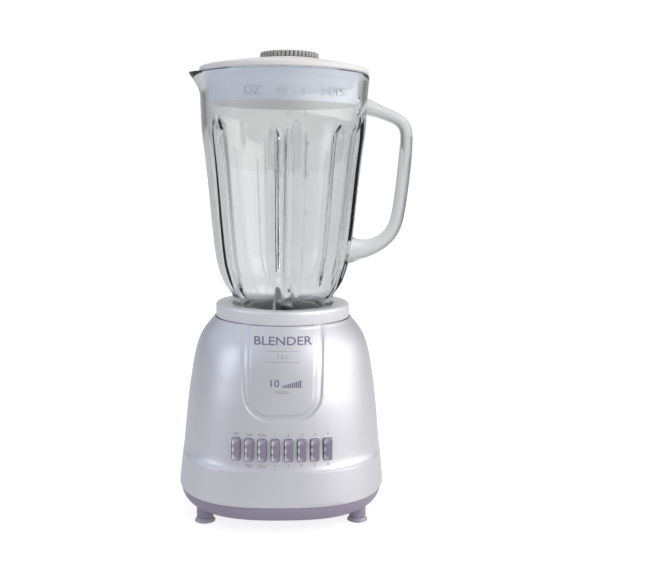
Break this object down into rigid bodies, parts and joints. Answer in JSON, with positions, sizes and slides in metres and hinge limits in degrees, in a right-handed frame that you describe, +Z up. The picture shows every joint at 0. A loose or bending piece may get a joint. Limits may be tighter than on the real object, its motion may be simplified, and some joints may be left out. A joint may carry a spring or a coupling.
{
  "type": "countertop blender",
  "caption": "Countertop blender with a flared motor base, a row of push keys, a fluted glass jar with a handle, a lid and a filler cap.",
  "frame": {"origin": "middle of the whole object's footprint, on the worktop that its feet stand on", "axes": "+Z up, keys face -Y, jar handle on the +X side; the motor's axis is at x = -11.03 mm, y = 0"},
  "size_m": [0.1904, 0.1705, 0.3699],
  "materials": {
    "pearl_plastic": "pearl white, satin gloss",
    "white_plastic": "white, satin",
    "lid_plastic": "soft warm white plastic",
    "lilac_grey_plastic": "lilac grey, satin",
    "key_plastic": "lilac grey, glossy",
    "clear_rubber": "clear soft rubber",
    "black_rubber": "black rubber",
    "switch_plastic": "black moulded plastic",
    "jar_glass": "clear pressed glass",
    "clear_plastic": "clear moulded plastic",
    "steel": "turned and ground steel",
    "cast_aluminium": "as cast",
    "laminated_steel": "stacked laminations",
    "copper": "enamelled copper wire",
    "brass": "turned brass",
    "carbon": "pressed carbon"
  },
  "bodies": {
    "base": {"housing": "pearl_plastic", "jar_seat": "white_plastic", "base_plate": "lilac_grey_plastic", "foot_front_left": "clear_rubber", "foot_front_right": "clear_rubber", "foot_rear_left": "clear_rubber", "foot_rear_right": "clear_rubber", "cord_gland": "black_rubber", "switch_body": "switch_plastic", "stator_core": "laminated_steel", "field_coil_left": "copper", "field_coil_right": "copper", "upper_bracket": "cast_aluminium", "lower_bracket": "cast_aluminium", "upper_bearing": "brass", "lower_bearing": "brass", "brush_holder_front": "brass", "brush_holder_rear": "brass", "brush_front": "carbon", "brush_rear": "carbon", "brush_spring_front": "steel", "brush_spring_rear": "steel", "base_screw_front_left": "steel", "base_screw_front_right": "steel", "base_screw_rear_left": "steel", "base_screw_rear_right": "steel", "motor_bolt_left": "steel", "motor_bolt_right": "steel", "mount_screw_front": "steel", "mount_screw_rear": "steel"},
    "rotor": {"motor_shaft": "steel", "armature_core": "laminated_steel", "winding_upper": "copper", "winding_lower": "copper", "commutator": "copper", "motor_fan": "switch_plastic", "drive_coupling": "steel", "slinger": "black_rubber"},
    "jar": {"jar_glass": "jar_glass", "jar_collar": "white_plastic", "jar_gasket": "black_rubber", "blade_base": "steel", "blade_bushing": "brass"},
    "blades": {"blade_shaft": "steel", "blade_upper": "steel", "blade_lower": "steel", "blade_washer": "steel", "blade_nut": "steel", "driven_coupling": "steel"},
    "lid": {"lid": "lid_plastic"},
    "cap": {"filler_cap": "clear_plastic"},
    "key_off": {"key_off": "key_plastic"},
    "key_low_high": {"key_low_high": "key_plastic"},
    "key_pulse": {"key_pulse": "key_plastic"},
    "key_speed_1": {"key_speed_1": "key_plastic"},
    "key_speed_2": {"key_speed_2": "key_plastic"},
    "key_speed_3": {"key_speed_3": "key_plastic"},
    "key_speed_4": {"key_speed_4": "key_plastic"},
    "key_speed_5": {"key_speed_5": "key_plastic"}
  },
  "joints": [
    {"name": "motor_spin", "type": "hinge", "parent": "base", "child": "rotor", "pos_m": [-0.01103, 0, 0.08], "axis": [0, 0, 1], "continuous": true},
    {"name": "jar_lift", "type": "slide", "parent": "base", "child": "jar", "axis": [0, 0, 1], "range_m": [0, 0.06]},
    {"name": "blade_spin", "type": "hinge", "parent": "jar", "child": "blades", "pos_m": [-0.01103, 0, 0.165], "axis": [0, 0, 1], "continuous": true},
    {"name": "lid_lift", "type": "slide", "parent": "jar", "child": "lid", "axis": [0, 0, 1], "range_m": [0, 0.08]},
    {"name": "cap_lift", "type": "slide", "parent": "lid", "child": "cap", "axis": [0, 0, 1], "range_m": [0, 0.05]},
    {"name": "key_off_press", "type": "slide", "parent": "base", "child": "key_off", "axis": [0, 1, 0], "range_m": [0, 0.0035], "stiffness_N_per_m": 300},
    {"name": "key_low_high_press", "type": "slide", "parent": "base", "child": "key_low_high", "axis": [0, 1, 0], "range_m": [0, 0.0035], "stiffness_N_per_m": 300},
    {"name": "key_pulse_press", "type": "slide", "parent": "base", "child": "key_pulse", "axis": [0, 1, 0], "range_m": [0, 0.0035], "stiffness_N_per_m": 300},
    {"name": "key_speed_1_press", "type": "slide", "parent": "base", "child": "key_speed_1", "axis": [0, 1, 0], "range_m": [0, 0.0035], "stiffness_N_per_m": 300},
    {"name": "key_speed_2_press", "type": "slide", "parent": "base", "child": "key_speed_2", "axis": [0, 1, 0], "range_m": [0, 0.0035], "stiffness_N_per_m": 300},
    {"name": "key_speed_3_press", "type": "slide", "parent": "base", "child": "key_speed_3", "axis": [0, 1, 0], "range_m": [0, 0.0035], "stiffness_N_per_m": 300},
    {"name": "key_speed_4_press", "type": "slide", "parent": "base", "child": "key_speed_4", "axis": [0, 1, 0], "range_m": [0, 0.0035], "stiffness_N_per_m": 300},
    {"name": "key_speed_5_press", "type": "slide", "parent": "base", "child": "key_speed_5", "axis": [0, 1, 0], "range_m": [0, 0.0035], "stiffness_N_per_m": 300}
  ],
  "couplings": [
    {"joint": "blade_spin", "follows": "motor_spin", "ratio": 1}
  ]
}
